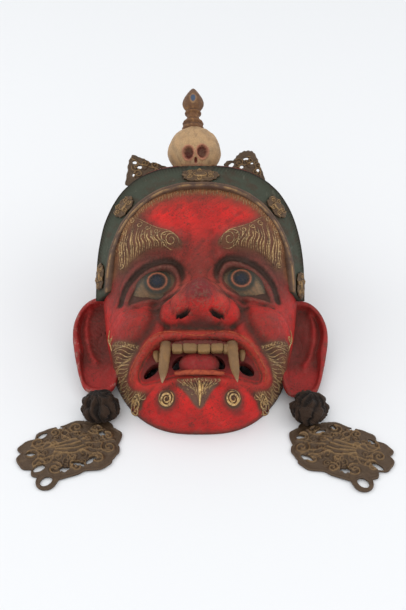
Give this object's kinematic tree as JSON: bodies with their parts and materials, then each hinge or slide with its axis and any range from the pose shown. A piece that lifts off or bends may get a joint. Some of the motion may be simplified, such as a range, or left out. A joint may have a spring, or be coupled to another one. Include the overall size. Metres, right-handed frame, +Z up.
{
  "type": "tibetan cham mask",
  "caption": "Red-painted carved wooden guardian dance mask with fangs, long ears, a diadem with brass plaques, a skull and bud finial, and openwork brass ear ornaments on silk.",
  "frame": {"origin": "bottom centre of the overall box; the floor is z = 0", "axes": "+X across the face to the viewer's right, +Y from chin to crown along the floor, +Z up; the mask lies on its back rim with the face up and tipped toward -Y"},
  "size_m": [0.4586, 0.4934, 0.254],
  "materials": {
    "painted_wood": "matte paint, worn and grimed",
    "bone_painted_wood": "ivory paint, worn",
    "gilt_wood": "rubbed gilding",
    "aged_brass": "brown patina with rubbed highs",
    "plaque_brass": "gilt brass, worn",
    "dark_silk": "crumpled silk"
  },
  "bodies": {
    "root": {"mask_body": "painted_wood", "skull": "bone_painted_wood", "finial": "gilt_wood", "crown_left": "aged_brass", "crown_right": "aged_brass", "plaque_top": "plaque_brass", "plaque_upper_left": "plaque_brass", "plaque_upper_right": "plaque_brass", "plaque_end_left": "plaque_brass", "plaque_end_right": "plaque_brass", "knot_left": "dark_silk", "knot_right": "dark_silk", "ornament_left": "aged_brass", "ornament_right": "aged_brass"}
  },
  "joints": []
}
